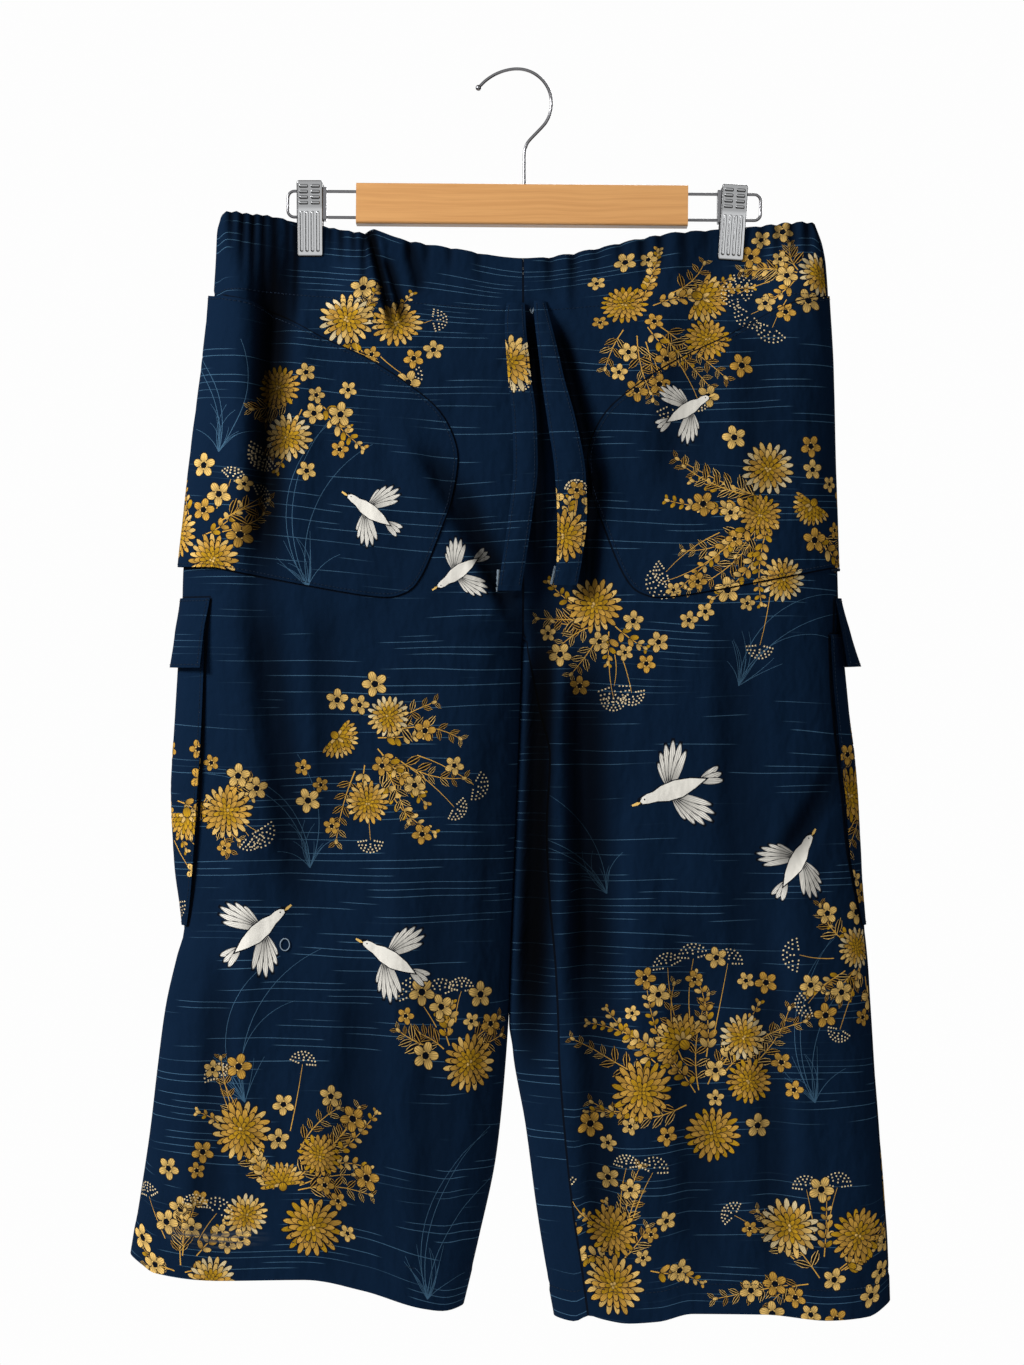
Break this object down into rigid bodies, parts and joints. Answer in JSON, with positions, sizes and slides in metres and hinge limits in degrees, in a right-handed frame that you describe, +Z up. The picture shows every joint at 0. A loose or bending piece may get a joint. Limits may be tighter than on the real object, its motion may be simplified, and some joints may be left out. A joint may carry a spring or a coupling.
{
  "type": "cropped wide-leg cargo trousers on a clip hanger",
  "caption": "Printed cotton cropped cargo trousers with an elastic tie waist, side patch pockets and flaps, hung flat by metal clips from a wood and wire hanger.",
  "frame": {"origin": "inner top of the hook, where the hanger rests on its peg or rail", "axes": "+Z up, the front of the garment faces -Y, +X to the right as seen from the front, which is the wearer's left"},
  "size_m": [0.5914, 0.0723, 0.9739],
  "materials": {
    "cotton": "matte plain-weave cotton, dark navy with a gold and cream print",
    "wood": "satin clear lacquer on light orange-brown wood",
    "steel": "plated steel, softly polished"
  },
  "bodies": {
    "root": {"bar": "wood", "hook": "steel", "loop_right": "steel", "loop_left": "steel", "clip_right_front": "steel", "clip_right_back": "steel", "clip_right_slider": "steel", "clip_left_front": "steel", "clip_left_back": "steel", "clip_left_slider": "steel", "front_right": "cotton", "back_right": "cotton", "hip_pocket_right": "cotton", "cargo_pocket_right": "cotton", "cargo_flap_right": "cotton", "tie_right": "cotton", "front_left": "cotton", "back_left": "cotton", "hip_pocket_left": "cotton", "cargo_pocket_left": "cotton", "cargo_flap_left": "cotton", "tie_left": "cotton"}
  },
  "joints": []
}
